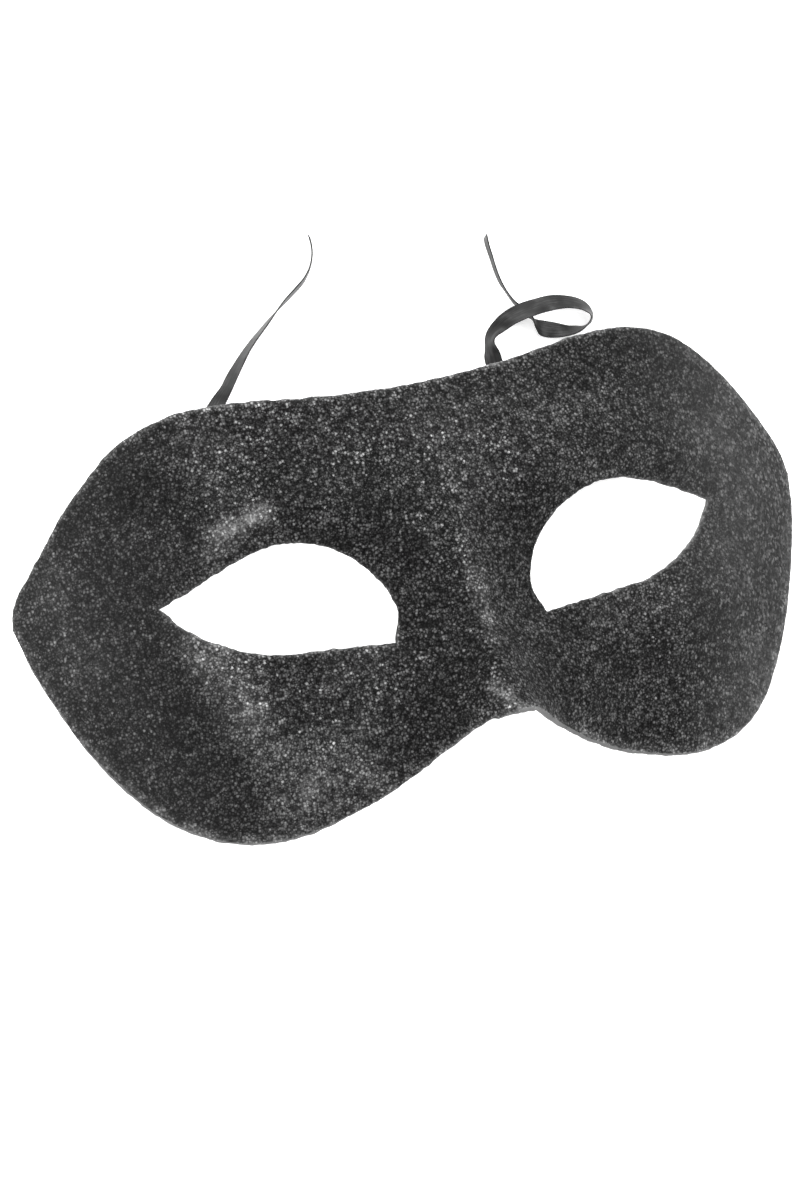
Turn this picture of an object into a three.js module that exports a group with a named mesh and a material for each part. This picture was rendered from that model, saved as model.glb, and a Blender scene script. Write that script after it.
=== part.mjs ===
// A moulded half mask that covers the eyes and the upper nose, lying face up with its two ribbon ties.
// Millimetres. +X is the mask's own left-to-right as seen from the front, +Y towards the forehead, +Z up.
// The origin is at the centre of the mask's box, on the surface that it lies on.
import * as THREE from "three";
import { mergeVertices } from "three/addons/utils/BufferGeometryUtils.js";

// Mask: flat layout, seen square from the front, with the bridge of the nose on x = 0
const HALF_SPAN = 95.2; // nose line to temple point
const NOSE_NOTCH_Y = -20; // lower edge on the nose line
const BROW_EDGE_Y = 55.6; // upper edge on the nose line
const WALL = 1.6; // moulded shell with its glitter coat

// Mask: depth of the front face
const TEMPLE_DROP = 33.8; // how far the temple points lie behind the inner eye corners
const TEMPLE_POWER = 3.14; // flat in front, then turning back quickly at the temples
const CROWN_DROP = 6.5; // drop towards the upper and lower edges
const CROWN_HALF = 47; // distance over which it drops that far
const CROWN_Y = 9; // height of the crown line
const BRIDGE_RISE = 7.6; // nose ridge between the eyes
const NOSE_RISE = 14.6; // what the ridge gains down to the notch
const NOSE_TOP_Y = 2; // where the ridge starts to lean out
const NOSE_LEAN = 1.15; // just above 1, so the ridge line is slightly hollow
const RIDGE_FADE = [6, 38]; // heights between which the ridge sinks into the forehead
const RIDGE_ROUND = 12; // half width of the rounded crest
const FLANK_SPREAD = 13; // how gently the ridge's flanks run out
const NOTCH_SPREAD = 16; // what that gains down to the notch
const NOTCH_FROM_TO = [-20, 4]; // heights between which it gains it
const NOSE_SIDES = [24, 40]; // distances from the nose line over which the nose dies out

// Pose: the mask rests on the two side rims, so the forehead stands up a little
const ACROSS = new THREE.Vector3(1, 0, 0);
const LYING_TILT = THREE.MathUtils.degToRad(12);
const RIM_TRIM = 1.9; // how much of the lowest lip is pressed flat, where the rims rest

// Mesh fineness
const RINGS = 9; // from an eye hole out to the edge
const STEPS = { lobe: 13, cheek: 8, jaw: 11, temple: 11, brow: 9, crown: 6, bridge: 7, nose: 9 };
const GLABELLA_Y = 20; // height on the nose line that faces the inner end of the brow
const SLOPE_REACH = 0.05; // distance over which the face's slope is measured

// Ribbons
const RIBBON_WIDTH = 4;
const RIBBON_THICK = 0.6; // soft stand-in of the thin satin strip
const RIBBON_STEP = 5; // short enough for the small loop of the right ribbon
const RIBBON_SIDES = 8;
const HANK_RUN = 39; // straight part of a hank
const HANK_END = 12; // radius of its round ends
const HANK_HIGH = 5; // ribbon on edge, and one run laid across it
const HANK_Y = 35.8; // both hanks lie under the forehead
const LEFT_HANK_X = -29.5;
const RIGHT_HANK_X = 38.5;

// Right half of the outline, from the notch over the cheek lobe to the temple point
const LOWER_EDGE = [
  [0, NOSE_NOTCH_Y],
  [5, -20.4],
  [8.8, -22.1],
  [12.6, -24.5],
  [23, -30.7],
  [34.5, -35.2],
  [49, -38.1],
  [61.7, -36.2],
  [72.2, -29.8],
  [80.4, -19.6],
  [87.9, -5.6],
  [92.8, 8],
  [HALF_SPAN, 19.5],
];

// and from the temple point over the brow to the nose line
const UPPER_EDGE = [
  [HALF_SPAN, 19.5],
  [94, 24.8],
  [87.8, 34.2],
  [79.1, 45.2],
  [68.1, 54.8],
  [57, 58.8],
  [44, 59.3],
  [24, 57],
  [0, BROW_EDGE_Y],
];

// Eye hole: inner corner by the nose, over the top to the outer corner, and back underneath
const EYE_TOP = [
  [18.2, 0],
  [16.3, 7.2],
  [18.7, 14.2],
  [24, 20.3],
  [31.5, 24.8],
  [40, 26.6],
  [48.5, 25],
  [57.4, 21.8],
  [67.2, 17.6],
];
const EYE_BASE = [
  [67.2, 17.6],
  [62, 10.9],
  [54, 5.6],
  [44.5, 2.2],
  [34, 1.1],
  [25.5, 0.5],
  [18.2, 0],
];

// Soft ridges and hollows of the face: a line, how far it spreads, and how high it stands
const FOREHEAD = { line: [[-14, 42], [14, 42]], spread: 22, height: 2.5 };
const CHEEK = { line: [[58, -5], [52, -12], [46, -22], [42, -36]], spread: 11, height: 3 };
const BROW = { line: [[60, 28], [50, 33], [37, 35], [24, 31]], spread: 8, height: 2 };
const INNER_SOCKET = { line: [[20, 6], [21, 14], [27, 19]], spread: 7, height: -3 };
const OUTER_SOCKET = { line: [[52, 24], [62, 19], [60, 10], [50, 4]], spread: 9, height: -1.4 };
const TEMPLE_CORNER = { line: [[58, 58], [70, 52], [80, 43], [88, 33], [94, 20]], spread: 13, height: 1.8 };
const LOBE = { line: [[54, -37], [68, -32]], spread: 10, height: 1.8 };
const RELIEF = [FOREHEAD, CHEEK, BROW, INNER_SOCKET, OUTER_SOCKET, TEMPLE_CORNER, LOBE];

// Each ribbon point is x, y, z and the direction across the ribbon's width
const LEFT_ROOT = [
  [-84.6, 4, 4.7, 0.76, 0, 0.65],
  [-84.6, 9.5, 5.6, 0.76, 0, 0.65],
  [-84.2, 16, 4.4, 0.6, 0, 0.8],
  [-81.8, 24, 2.7, 0.3, 0, 0.95],
  [-76.2, 31.8, 2.2, 0, 0, 1],
  [-69, 38.8, 2.2, 0, 0, 1],
  [-61.4, 45.2, 2.2, 0, 0, 1],
  [-54.6, 48.2, 2.2, 0, 0, 1],
  [-47.5, 48.8, 2.2, 0, 0, 1],
];
const LEFT_TAIL = [
  [-41.1, 49.9, 4.4, 0.71, -0.71, 0],
  [-37.4, 52.3, 2.6, 0.62, -0.64, 0.46],
  [-34, 55.6, 1.6, 0.5, -0.55, 0.67],
  [-31.7, 57.9, 1.9, 0.38, -0.41, 0.83],
  [-29.6, 60.4, 1.9, 0.35, -0.37, 0.86],
  [-27.4, 62.8, 2, 0.28, -0.3, 0.91],
  [-25.1, 65.2, 2.1, 0.19, -0.24, 0.95],
  [-22.4, 67.6, 2.2, 0.14, -0.19, 0.97],
  [-19.5, 69.9, 2.2, 0.11, -0.13, 0.99],
  [-16.5, 72.3, 2.2, 0.03, -0.04, 1],
  [-13.4, 74.6, 2.2, -0.07, 0.09, 0.99],
  [-10.1, 76.8, 2.2, -0.1, 0.13, 0.99],
  [-7, 79, 2.2, -0.12, 0.14, 0.98],
  [-4.9, 81.4, 2.2, -0.16, 0.11, 0.98],
  [-3.5, 84.1, 2.2, -0.25, 0.09, 0.96],
  [-2.9, 86.5, 2.2, -0.34, 0.05, 0.94],
  [-2.8, 88.8, 2.2, -0.4, 0.01, 0.91],
];
const RIGHT_ROOT = [
  [84.6, 4, 4.7, -0.76, 0, 0.65],
  [84.6, 9.5, 5.6, -0.76, 0, 0.65],
  [84.4, 16, 4.4, -0.6, 0, 0.8],
  [82.8, 24, 2.7, -0.3, 0, 0.95],
  [79, 32, 2.2, 0, 0, 1],
  [74.6, 39, 2.2, 0, 0, 1],
  [69, 45, 2.2, 0, 0, 1],
  [63, 48.3, 2.2, 0, 0, 1],
  [56.6, 48.8, 2.2, 0, 0, 1],
];
const RIGHT_TAIL = [
  [32.4, 48.3, 4.4, 1, 0, 0],
  [31.7, 50.5, 3.4, 0.87, -0.24, 0.42],
  [31.7, 52.6, 3.2, 0.83, -0.3, 0.47],
  [31.8, 54.6, 3.1, 0.41, -0.41, 0.82],
  [31.9, 56, 3.2, 0.14, -0.46, 0.88],
  [32.3, 57.1, 3.3, 0.07, -0.55, 0.83],
  [33.3, 58.3, 3.5, 0.15, -0.66, 0.74],
  [35, 59.4, 4, 0.27, -0.82, 0.51],
  [37.1, 60.4, 5, 0.38, -0.88, 0.29],
  [40.8, 61.4, 5.5, 0.09, -0.99, 0.06],
  [45.9, 62.2, 4.6, -0.08, -0.97, 0.25],
  [49.9, 62.7, 3, -0.13, -0.94, 0.3],
  [53.1, 62.5, 2.2, -0.15, -0.89, 0.43],
  [56, 61.5, 2.1, -0.42, -0.73, 0.54],
  [57.5, 60.2, 2.2, -0.62, -0.44, 0.65],
  [58.2, 58.6, 2.2, -0.56, -0.04, 0.83],
  [57.8, 57.2, 2.2, -0.22, 0.12, 0.97],
  [56.5, 56.3, 2.1, -0.05, -0.1, 0.99],
  [54.5, 55.9, 1.9, -0.2, -0.55, 0.81],
  [52.1, 55.9, 1.6, -0.1, -0.77, 0.63],
  [49.5, 56.6, 1, 0, -0.95, 0.3],
  [47.2, 57.5, 0.5, 0.05, -1, 0.05],
  [45.6, 58.2, 0.8, 0, -1, 0.1],
  [44.6, 59.1, 1.6, -0.25, -0.76, 0.6],
  [43.8, 60.4, 2.1, -0.15, -0.2, 0.97],
  [42.4, 62.5, 2.2, -0.14, -0.11, 0.98],
  [40.8, 64.8, 2.2, -0.25, -0.14, 0.96],
  [39.7, 67.5, 2.2, -0.31, -0.11, 0.95],
  [38.9, 70.3, 2.2, -0.25, -0.05, 0.97],
  [38.6, 73, 2.2, -0.22, -0.01, 0.98],
  [38.5, 76, 2.2, -0.2, -0.01, 0.98],
  [38.4, 78.8, 2.2, -0.17, 0, 0.99],
  [38.5, 81.2, 2.2, -0.13, 0.01, 0.99],
];

const glitter = new THREE.MeshStandardMaterial({ color: 0x2c2c2e, roughness: 0.62, metalness: 0.15 });
const satin = new THREE.MeshStandardMaterial({ color: 0x3c3c3e, roughness: 0.42, metalness: 0 });

function smoothStep(low, high, value) {
  const t = Math.min(Math.max((value - low) / (high - low), 0), 1);
  return t * t * (3 - 2 * t);
}

function distanceToLine(x, y, line) {
  let nearest = Infinity;
  for (let i = 0; i + 1 < line.length; i += 1) {
    const [ax, ay] = line[i];
    const dx = line[i + 1][0] - ax;
    const dy = line[i + 1][1] - ay;
    const t = Math.min(Math.max(((x - ax) * dx + (y - ay) * dy) / (dx * dx + dy * dy), 0), 1);
    nearest = Math.min(nearest, Math.hypot(x - ax - t * dx, y - ay - t * dy));
  }
  return nearest;
}

function swell(x, y, { line, spread, height }) {
  return height * Math.exp(-((distanceToLine(x, y, line) / spread) ** 2));
}

// The nose: a rounded ridge that leans out towards the notch and flares into the cheeks
function nose(x, y) {
  const lean = Math.min(Math.max((NOSE_TOP_Y - y) / (NOSE_TOP_Y - NOSE_NOTCH_Y), 0), 1);
  const rise = (BRIDGE_RISE + NOSE_RISE * lean ** NOSE_LEAN) * (1 - smoothStep(...RIDGE_FADE, y));
  const flare = FLANK_SPREAD + NOTCH_SPREAD * (1 - smoothStep(...NOTCH_FROM_TO, y));
  const crest = (x * x + RIDGE_ROUND ** 2) ** 0.75 - RIDGE_ROUND ** 1.5;
  return (rise / (1 + crest / flare)) * (1 - smoothStep(...NOSE_SIDES, x));
}

// Height of the front face over the plane through the inner eye corners
function faceHeight(signedX, y) {
  const x = Math.abs(signedX);
  let z = -TEMPLE_DROP * (x / HALF_SPAN) ** TEMPLE_POWER;
  z -= CROWN_DROP * ((y - CROWN_Y) / CROWN_HALF) ** 2;
  z += nose(x, y);
  for (const part of RELIEF) z += swell(x, y, part);
  return z;
}

function faceNormal(x, y) {
  const d = SLOPE_REACH;
  const slopeX = (faceHeight(x + d, y) - faceHeight(x - d, y)) / (2 * d);
  const slopeY = (faceHeight(x, y + d) - faceHeight(x, y - d)) / (2 * d);
  return new THREE.Vector3(-slopeX, -slopeY, 1).normalize();
}

// A smooth curve through the points of an edge
function edgeCurve(points) {
  const vectors = points.map(([x, y]) => new THREE.Vector3(x, y, 0));
  return new THREE.CatmullRomCurve3(vectors, false, "centripetal");
}

// The upper edge runs on over the nose line, so that it crosses the line level
function mirroredOver(points) {
  const otherSide = points.slice(0, -1).reverse().map(([x, y]) => [-x, y]);
  return [...points, ...otherSide];
}

// Points of a curve from one control point to another, without the last one
function stretch(curve, from, to, count) {
  const last = curve.points.length - 1;
  const points = [];
  for (let i = 0; i < count; i += 1) {
    const at = curve.getPoint((from + ((to - from) * i) / count) / last);
    points.push([at.x, at.y]);
  }
  return points;
}

function straight(from, to, count) {
  const points = [];
  for (let i = 0; i < count; i += 1) {
    points.push([0, from + ((to - from) * i) / count]);
  }
  return points;
}

// Half of the mask in plan: matching points round its outer edge and round its eye hole
function halfPlan() {
  const lower = edgeCurve(LOWER_EDGE);
  const upper = edgeCurve(mirroredOver(UPPER_EDGE));
  const eyeTop = edgeCurve(EYE_TOP);
  const eyeBase = edgeCurve(EYE_BASE);
  const outer = [
    ...stretch(lower, 0, 6, STEPS.lobe),
    ...stretch(lower, 6, 9, STEPS.cheek),
    ...stretch(lower, 9, 12, STEPS.jaw),
    ...stretch(upper, 0, 4, STEPS.temple),
    ...stretch(upper, 4, 7, STEPS.brow),
    ...stretch(upper, 7, 8, STEPS.crown),
    ...straight(BROW_EDGE_Y, GLABELLA_Y, STEPS.bridge),
    ...straight(GLABELLA_Y, NOSE_NOTCH_Y, STEPS.nose),
  ];
  const inner = [
    ...stretch(eyeBase, 6, 4, STEPS.lobe),
    ...stretch(eyeBase, 4, 2, STEPS.cheek),
    ...stretch(eyeBase, 2, 0, STEPS.jaw),
    ...stretch(eyeTop, 8, 6, STEPS.temple),
    ...stretch(eyeTop, 6, 4, STEPS.brow),
    ...stretch(eyeTop, 4, 3, STEPS.crown),
    ...stretch(eyeTop, 3, 1, STEPS.bridge),
    ...stretch(eyeTop, 1, 0, STEPS.nose),
  ];
  const openEdge = outer.length - STEPS.bridge - STEPS.nose;
  return { outer, inner, openEdge };
}

function maskShell() {
  const { outer, inner, openEdge } = halfPlan();
  const around = outer.length;
  const positions = [];
  const faces = [];
  for (const side of [1, -1]) {
    const first = positions.length;
    for (const depth of [0, WALL]) {
      for (let ring = 0; ring <= RINGS; ring += 1) {
        for (let i = 0; i < around; i += 1) {
          const out = ring / RINGS;
          const x = side * (inner[i][0] + (outer[i][0] - inner[i][0]) * out);
          const y = inner[i][1] + (outer[i][1] - inner[i][1]) * out;
          const point = new THREE.Vector3(x, y, faceHeight(x, y));
          point.addScaledVector(faceNormal(x, y), -depth);
          positions.push(point.applyAxisAngle(ACROSS, LYING_TILT));
        }
      }
    }
    const at = (layer, ring, i) => first + (layer * (RINGS + 1) + ring) * around + (i % around);
    const quad = (a, b, c, d) => {
      const corners = side > 0 ? [a, b, c, a, c, d] : [a, c, b, a, d, c];
      faces.push(...corners);
    };
    for (let i = 0; i < around; i += 1) {
      for (let ring = 0; ring < RINGS; ring += 1) {
        quad(at(0, ring, i), at(0, ring + 1, i), at(0, ring + 1, i + 1), at(0, ring, i + 1));
        quad(at(1, ring, i), at(1, ring, i + 1), at(1, ring + 1, i + 1), at(1, ring + 1, i));
      }
      quad(at(0, 0, i), at(0, 0, i + 1), at(1, 0, i + 1), at(1, 0, i));
      if (i < openEdge) {
        quad(at(0, RINGS, i), at(1, RINGS, i), at(1, RINGS, i + 1), at(0, RINGS, i + 1));
      }
    }
  }

  // Set the rims down, pressed flat where they touch, and centre the mask over the origin
  const box = new THREE.Box3().setFromPoints(positions);
  const middleY = (box.min.y + box.max.y) / 2;
  const floorZ = box.min.z + RIM_TRIM;
  const flat = positions.flatMap((p) => [p.x, p.y - middleY, Math.max(p.z - floorZ, 0)]);
  const geometry = new THREE.BufferGeometry();
  geometry.setAttribute("position", new THREE.Float32BufferAttribute(flat, 3));
  geometry.setIndex(faces);
  return mergeVertices(geometry, 1e-4);
}

// A route whose section turns with the ribbon, instead of with the curve
class RibbonRoute extends THREE.CatmullRomCurve3 {
  constructor(stations) {
    super(stations.map(([x, y, z]) => new THREE.Vector3(x, y, z)), false, "centripetal");
    this.across = stations.map(([, , , x, y, z]) => new THREE.Vector3(x, y, z));
  }

  computeFrenetFrames(segments) {
    const tangents = [];
    const normals = [];
    const binormals = [];
    for (let i = 0; i <= segments; i += 1) {
      const tangent = this.getTangentAt(i / segments);
      const place = this.getUtoTmapping(i / segments) * (this.across.length - 1);
      const before = Math.min(Math.floor(place), this.across.length - 2);
      const width = this.across[before].clone().lerp(this.across[before + 1], place - before);
      width.addScaledVector(tangent, -width.dot(tangent)).normalize();
      tangents.push(tangent);
      normals.push(width);
      binormals.push(tangent.clone().cross(width));
    }
    return { tangents, normals, binormals };
  }
}

// Eight-sided flat section, thinner towards its two edges
function ribbonSection() {
  const section = new THREE.Shape();
  const reach = 1 / Math.cos(Math.PI / RIBBON_SIDES);
  for (let i = 0; i < RIBBON_SIDES; i += 1) {
    const angle = ((i + 0.5) / RIBBON_SIDES) * 2 * Math.PI;
    const x = Math.cos(angle) * reach * (RIBBON_WIDTH / 2);
    const y = Math.sin(angle) * reach * (RIBBON_THICK / 2);
    if (i === 0) section.moveTo(x, y);
    else section.lineTo(x, y);
  }
  section.closePath();
  return section;
}

function ribbonSolid(stations) {
  const route = new RibbonRoute(stations);
  const steps = Math.max(2, Math.round(route.getLength() / RIBBON_STEP));
  return new THREE.ExtrudeGeometry(ribbonSection(), { steps, extrudePath: route });
}

// Outer shape of a folded hank, lying on the surface
function hankSolid() {
  const outline = new THREE.Shape();
  const half = HANK_RUN / 2;
  outline.moveTo(-half, -HANK_END);
  outline.lineTo(half, -HANK_END);
  outline.absarc(half, 0, HANK_END, -Math.PI / 2, Math.PI / 2, false);
  outline.lineTo(-half, HANK_END);
  outline.absarc(-half, 0, HANK_END, Math.PI / 2, (3 * Math.PI) / 2, false);
  return new THREE.ExtrudeGeometry(outline, { depth: HANK_HIGH, bevelEnabled: false, curveSegments: 16 });
}

function named(name, geometry, material) {
  const mesh = new THREE.Mesh(geometry, material);
  mesh.name = name;
  return mesh;
}

function ribbon(side, root, tail, hankX) {
  const tie = new THREE.Group();
  const hank = named(`ribbon_${side}_hank`, hankSolid(), satin);
  hank.position.set(hankX, HANK_Y, 0);
  tie.add(named(`ribbon_${side}_root`, ribbonSolid(root), satin));
  tie.add(hank);
  tie.add(named(`ribbon_${side}_tail`, ribbonSolid(tail), satin));
  return tie;
}

const mask = new THREE.Group();
mask.add(named("mask_shell", maskShell(), glitter));
mask.add(ribbon("left", LEFT_ROOT, LEFT_TAIL, LEFT_HANK_X));
mask.add(ribbon("right", RIGHT_ROOT, RIGHT_TAIL, RIGHT_HANK_X));

export default mask;
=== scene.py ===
import math

import bmesh
import bpy
import numpy as np
from mathutils import Matrix, Vector, noise


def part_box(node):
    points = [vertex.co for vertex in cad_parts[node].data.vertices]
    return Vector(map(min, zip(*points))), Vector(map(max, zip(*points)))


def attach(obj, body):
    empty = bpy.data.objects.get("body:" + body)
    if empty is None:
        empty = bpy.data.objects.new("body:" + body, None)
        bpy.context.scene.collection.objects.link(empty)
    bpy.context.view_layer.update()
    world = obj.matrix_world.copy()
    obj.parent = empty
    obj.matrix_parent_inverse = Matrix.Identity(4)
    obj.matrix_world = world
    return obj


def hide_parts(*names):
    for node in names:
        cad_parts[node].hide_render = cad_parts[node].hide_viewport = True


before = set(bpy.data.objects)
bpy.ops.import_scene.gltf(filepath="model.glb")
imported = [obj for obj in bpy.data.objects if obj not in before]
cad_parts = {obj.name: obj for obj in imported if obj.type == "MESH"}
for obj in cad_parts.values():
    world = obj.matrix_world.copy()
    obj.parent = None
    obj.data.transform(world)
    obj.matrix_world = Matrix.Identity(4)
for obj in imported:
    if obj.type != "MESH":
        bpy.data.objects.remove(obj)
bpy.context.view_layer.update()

MM = 0.001

# View: the photograph's frame, and where the point midway between the inner eye corners shows in it
FRAME_WIDE, FRAME_HIGH = 803, 1200
PIXELS_PER_METRE = 4500
FACE_POINT_PIXEL = (472.5, 626.5)
VIEW_DISTANCE = 2.0
VIEW_YAW = math.radians(20)
VIEW_ROLL = math.radians(11.6)
SENSOR_HEIGHT = 36

# Pose: the mask rests on its two side rims, so the forehead stands up a little
LYING_TILT = math.radians(12)
RIM_TRIM = 1.9 * MM

# Mask, seen square from the front with the bridge of the nose on x = 0. Its shape is in millimetres.
HALF_SPAN = 95.2
NOSE_NOTCH_Y = -20.0
BROW_EDGE_Y = 55.6
WALL = 1.6
RIM_ROUND = 0.5
RIM_BULGE = 0.85

# Depth of the front face
TEMPLE_DROP = 33.8
TEMPLE_POWER = 3.14
CROWN_DROP = 6.5
CROWN_HALF = 47
CROWN_Y = 9
BRIDGE_RISE = 7.6
NOSE_RISE = 14.6
NOSE_TOP_Y = 2
NOSE_LEAN = 1.15
RIDGE_FADE = (6, 38)
RIDGE_ROUND = 12
FLANK_SPREAD = 13
NOTCH_SPREAD = 16
NOTCH_FROM_TO = (-20, 4)
NOSE_SIDES = (24, 40)

# Right half of the outline: over the cheek lobe to the temple point, and back over the brow
LOWER_EDGE = [
    (0, NOSE_NOTCH_Y), (5, -20.4), (8.8, -22.1), (12.6, -24.5), (23, -30.7), (34.5, -35.2),
    (49, -38.1), (61.7, -36.2), (72.2, -29.8), (80.4, -19.6), (87.9, -5.6), (92.8, 8),
    (HALF_SPAN, 19.5),
]
UPPER_EDGE = [
    (HALF_SPAN, 19.5), (94, 24.8), (87.8, 34.2), (79.1, 45.2), (68.1, 54.8), (57, 58.8),
    (44, 59.3), (24, 57), (0, BROW_EDGE_Y),
]
EYE_TOP = [
    (18.2, 0), (16.3, 7.2), (18.7, 14.2), (24, 20.3), (31.5, 24.8), (40, 26.6), (48.5, 25),
    (57.4, 21.8), (67.2, 17.6),
]
EYE_BASE = [
    (67.2, 17.6), (62, 10.9), (54, 5.6), (44.5, 2.2), (34, 1.1), (25.5, 0.5), (18.2, 0),
]

# Soft ridges and hollows of the face: a line, how far it spreads, and how high it stands
RELIEF = [
    ([(-14, 42), (14, 42)], 22, 2.5),
    ([(58, -5), (52, -12), (46, -22), (42, -36)], 11, 3),
    ([(60, 28), (50, 33), (37, 35), (24, 31)], 8, 2),
    ([(20, 6), (21, 14), (27, 19)], 7, -3),
    ([(52, 24), (62, 19), (60, 10), (50, 4)], 9, -1.4),
    ([(58, 58), (70, 52), (80, 43), (88, 33), (94, 20)], 13, 1.8),
    ([(54, -37), (68, -32)], 10, 1.8),
]
GLABELLA_Y = 20

# Fineness of the shell: steps along each stretch of the edge, and rings from an eye hole to the edge
STEPS = {
    "lobe": 84, "cheek": 56, "jaw": 76, "temple": 78,
    "brow": 70, "crown": 44, "bridge": 50, "nose": 58,
}
FRONT_RINGS = 58
BACK_RINGS = 16
RIM_STEPS = 7

# Points on each stretch of an edge curve before they are spaced evenly, and the distances over which
# the slopes of the face and of its edges are measured
CURVE_STEPS = 60
SLOPE_REACH = 0.05
EDGE_REACH = 0.3

# Surface of the coat: fine grain, and the slight unevenness of a moulded shell, as height and frequency
GRAIN = [(0.045, 0.9), (0.03, 2.1)]
UNEVEN = (0.16, 0.07)

# Points of the two halves that lie closer than this, in metres, are joined
WELD = 1e-7

# Painted highlights on the face, and painted shade where the gain is below nought: a line on the face, how
# far it spreads, and how much brighter than usual the coat is painted along it
PAINTED_STREAKS = [
    ([(-51.5, 31), (-42.3, 34.2)], 1.7, 4.2),
    ([(-53, 28.5), (-46, 31.5)], 4, 0.9),
    ([(-50, 40), (-50, 54)], 6, 0.3),
    ([(-61, 8), (-57, -2), (-54, -9)], 4.5, 0.95),
    ([(-54, -10), (-49, -19), (-43, -28)], 5.5, 0.6),
    ([(-41, -25), (-34, -18)], 6, 0.45),
    ([(-46, -33), (-32, -28)], 7, 0.7),
    ([(-33, -5), (-24, -2)], 4, 0.5),
    ([(4, 30), (2, 18)], 5, 0.15),
    ([(1, 11), (1, -3)], 2.3, 1.1),
    ([(-3, -14), (-0.5, -19)], 1.4, 4),
    ([(-88, 28), (-84, 8)], 6, 0.35),
    ([(-90, -2), (-81, -19), (-73, -29.5), (-62, -36.5), (-48, -38.5)], 1.3, 2.2),
    ([(-95, 18), (-92.5, 8), (-89, -3)], 1.6, 0.8),
    ([(70, 53), (80, 44), (88, 34), (94, 25), (95.2, 19), (92.8, 8)], 1.7, 0.7),
    ([(92.8, 8), (88, -5.6), (80.4, -19.6), (72.2, -29.8), (62, -36)], 2.2, 0.9),
    ([(-28, -34.5), (-12, -25)], 1.6, 0.8),
    ([(2, -20), (12, -24), (23, -30.5), (34, -35), (49, -38), (62, -36)], 1.6, 1.1),
    ([(0, 46), (10, 36)], 8, 0.25),
    ([(4, 47), (54, 47)], 5, 0.15),
    ([(30, 29), (50, 28)], 3.5, 0.3),
    ([(74, 32), (78, 20), (70, 8)], 9, 0.3),
    ([(60, -30), (72, -20)], 6, 0.4),
    ([(30, -3), (54, -3)], 5, 0.3),
    ([(-2, -6), (-12, -9), (-17, -17)], 5, -0.45),
    ([(-18, 32), (-10, 22)], 7, -0.25),
    ([(-66, 43), (-58, 40)], 6, -0.4),
    ([(-40, 41), (-32, 40)], 5, -0.4),
    ([(-68, 6), (-66, -10)], 5, -0.3),
    ([(14, 20), (20, -4), (23, -14)], 6, -0.2),
    ([(34, 53), (58, 51)], 6, -0.25),
]

# A painted highlight lights its flakes by this factor at most, and paints this much pale grey between them
STREAK_FLAKES = 1.7
STREAK_HIGHLIGHT = 0.016

# Painted highlight along the edges of the front: an edge, how far it spreads, and its gain; then that round
# the rims
EDGE_HIGHLIGHT = [
    (LOWER_EDGE, 0.85, 0.65),
    (UPPER_EDGE, 0.85, 0.65),
    (EYE_TOP, 0.85, 0.3),
    (EYE_BASE, 0.85, 0.2),
]
EDGE_HIGHLIGHT_STEPS = 6
RIM_HIGHLIGHT = 0.08

# Painted sheen over the left (-1) and right (1) temple, evening the flakes to a flat grey: where it starts,
# where it is full, and its share there
SIDE_SHEEN = {-1: (44, 80, 0.33), 1: (42, 78, 0.58)}
SHEEN_GREY = 0.02

# Edge of the shell: how ragged the cut is, as size and frequency, and how far round it the coat reaches,
# usually and where the rim is bare. It is bare low on the face, and on the left half only far out.
RAGGED = [(0.28, 0.35), (0.18, 0.9)]
COAT_ENDS = (0.5, 0.08)
BARE_BELOW = (-20, 25)
BARE_LEFT_BEYOND = (20, 50)
OVERSPRAY = 0.25
OVERSPRAY_ENDS = (0.6, 1)

# Glitter coat: scales of its noise and cell patterns, shares in a sum, and ramps of (position, grey)
WORN_SCALE = 900
WORN = [(0.86, 0), (0.96, 1)]
CLUSTER_SCALE = 430
CLUSTER_SHARE = 0.75
BANK_SCALE = 150
BANK_SHARE = 0.5
COARSE_SCALE = 1500
COARSE_GREYS = [(0.0, 0.004), (0.3, 0.009), (0.6, 0.024), (0.82, 0.055), (1.0, 0.12)]
FINE_SCALE = 2500
FINE_GREYS = [(0.0, 0.004), (0.4, 0.010), (0.7, 0.026), (1.0, 0.07)]
FLAKE_HEART = [(0.2, 1), (0.62, 0.05)]
# The painted highlight between the flakes clumps with the drift by this much, and varies with each fine
# cell's luck from this much
HIGHLIGHT_DRIFT = 4
HIGHLIGHT_LUCK = 0.3
FLAKE_MIRROR = [(0.7, 0), (1.0, 0.6)]
FLAKE_ROUGHNESS = [(0.5, 0.75), (0.95, 0.42)]
FLAKE_LEAN = 0.55

# Bare shell, behind and round the rim
MOTTLE_SCALE = 260
BARE_GREYS = [(0.3, 0.24), (0.7, 0.34)]
BARE_SPRAYED = [(0, 1), (OVERSPRAY, 0.4)]
BARE_ROUGHNESS = 0.7

# Satin: scales, shares and ramps in the same way; the streaks are drawn out along the ribbon
STREAK_SCALE = 700
STREAK_SHARE = 0.45
STREAK_SHAPE = (0.25, 4, 1)
FOLD_SCALE = 210
FOLD_SHARE = 0.55
THREAD_SCALE = 1300
THREAD_WAVER = 1.2
STREAK_RELIEF = 0.6
SATIN_GREYS = [(0.38, 0.005), (0.5, 0.012), (0.62, 0.036)]
SATIN_ROUGHNESS = [(0.3, 0.36), (0.7, 0.5)]

# Floor and lights. Each light is its place, what it looks at, how wide it is, and its power.
FLOOR_HALF = 3.0
FLOOR_SCALE = 60
FLOOR_GREYS = [(0.3, 0.865), (0.7, 0.875)]
LIGHTS = {
    "key": ((0.9, 0.5, 1.5), (0, 0, 0), 1.2, 34),
    "fill": ((-1.3, -0.3, 1.3), (0, 0, 0), 1.0, 20),
    "low": ((0.1, 1.5, 0.75), (0, 0.02, 0), 0.9, 26),
}
WORLD_STRENGTH = 1.0
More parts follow.
